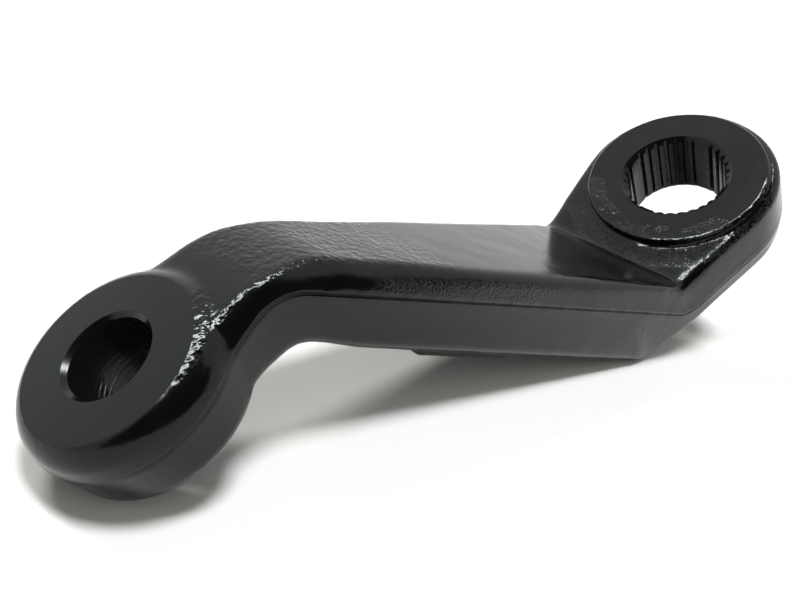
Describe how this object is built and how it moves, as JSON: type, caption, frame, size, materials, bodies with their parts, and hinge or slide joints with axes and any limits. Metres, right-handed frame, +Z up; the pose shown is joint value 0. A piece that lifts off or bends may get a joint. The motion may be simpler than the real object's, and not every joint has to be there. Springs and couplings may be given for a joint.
{
  "type": "pitman arm",
  "caption": "One-piece forged drop pitman arm: splined shaft eye with a machined seat, tapering bar bent down to a tapered ball-stud eye, gloss black",
  "frame": {"origin": "on the surface the arm lies on, at the centre of its footprint", "axes": "+X along the arm from the splined shaft eye to the ball-stud eye, +Z up from that surface; the arm is symmetric in Y"},
  "size_m": [0.2328, 0.0626, 0.0697],
  "materials": {
    "black_paint": "gloss black paint over a drop-forged steel surface"
  },
  "bodies": {
    "root": {"pitman_arm": "black_paint"}
  },
  "joints": []
}
